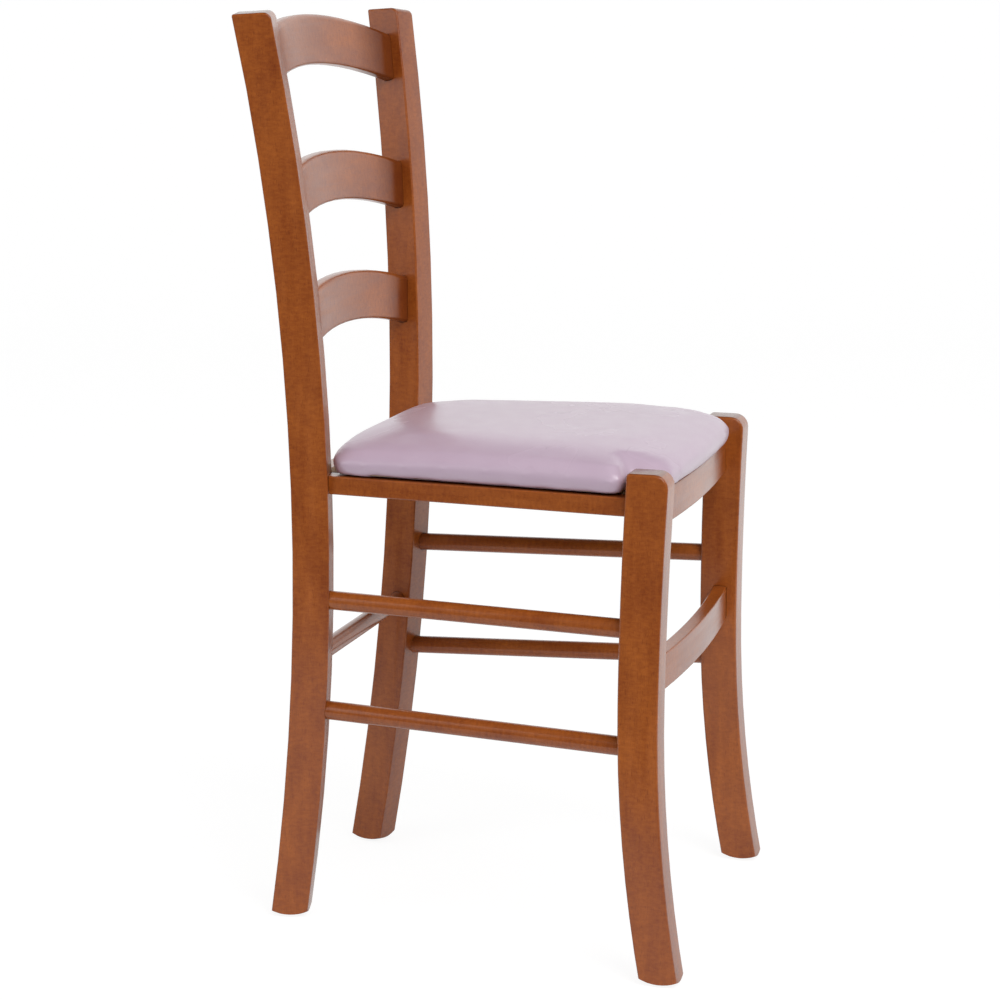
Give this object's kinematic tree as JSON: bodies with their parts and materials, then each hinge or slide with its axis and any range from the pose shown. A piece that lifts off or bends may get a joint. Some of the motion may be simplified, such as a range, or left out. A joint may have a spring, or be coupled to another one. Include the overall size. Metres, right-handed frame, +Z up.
{
  "type": "upholstered wooden chair",
  "caption": "Ladder-back dining chair in stained wood, with sabre-curved legs, bowed back slats, round side stretchers and a padded leatherette seat.",
  "frame": {"origin": "on the floor, under the middle of the chair's width and depth", "axes": "+Z up; the front of the chair faces -Y; the sitter's left is +X"},
  "size_m": [0.4124, 0.4399, 0.8825],
  "materials": {
    "stained_beech": "satin lacquer over a reddish brown stain",
    "leatherette": "pale lilac-grey leatherette, soft sheen",
    "plywood": "bare plywood",
    "foam": "open foam",
    "black_cloth": "matt black non-woven cloth",
    "raw_beech": "bare sawn beech",
    "zinc_screw": "zinc plated"
  },
  "bodies": {
    "root": {"front_leg_left": "stained_beech", "front_leg_right": "stained_beech", "rear_post_left": "stained_beech", "rear_post_right": "stained_beech", "back_slat_bottom": "stained_beech", "back_slat_middle": "stained_beech", "back_slat_top": "stained_beech", "front_seat_rail": "stained_beech", "rear_seat_rail": "stained_beech", "side_seat_rail_left": "stained_beech", "side_seat_rail_right": "stained_beech", "front_stretcher": "stained_beech", "side_rod_upper_left": "stained_beech", "side_rod_upper_right": "stained_beech", "side_rod_lower_left": "stained_beech", "side_rod_lower_right": "stained_beech", "rear_rod": "stained_beech", "corner_block_front_left": "raw_beech", "corner_block_front_right": "raw_beech", "corner_block_rear_left": "raw_beech", "corner_block_rear_right": "raw_beech", "side_screw_front_left": "zinc_screw", "side_screw_front_right": "zinc_screw", "side_screw_rear_left": "zinc_screw", "side_screw_rear_right": "zinc_screw", "cross_screw_front_left": "zinc_screw", "cross_screw_front_right": "zinc_screw", "cross_screw_rear_left": "zinc_screw", "cross_screw_rear_right": "zinc_screw", "seat_screw_front_left": "zinc_screw", "seat_screw_front_right": "zinc_screw", "seat_screw_rear_left": "zinc_screw", "seat_screw_rear_right": "zinc_screw", "seat_cover": "leatherette", "seat_foam": "foam", "seat_board": "plywood", "seat_bottom_cloth": "black_cloth"}
  },
  "joints": []
}
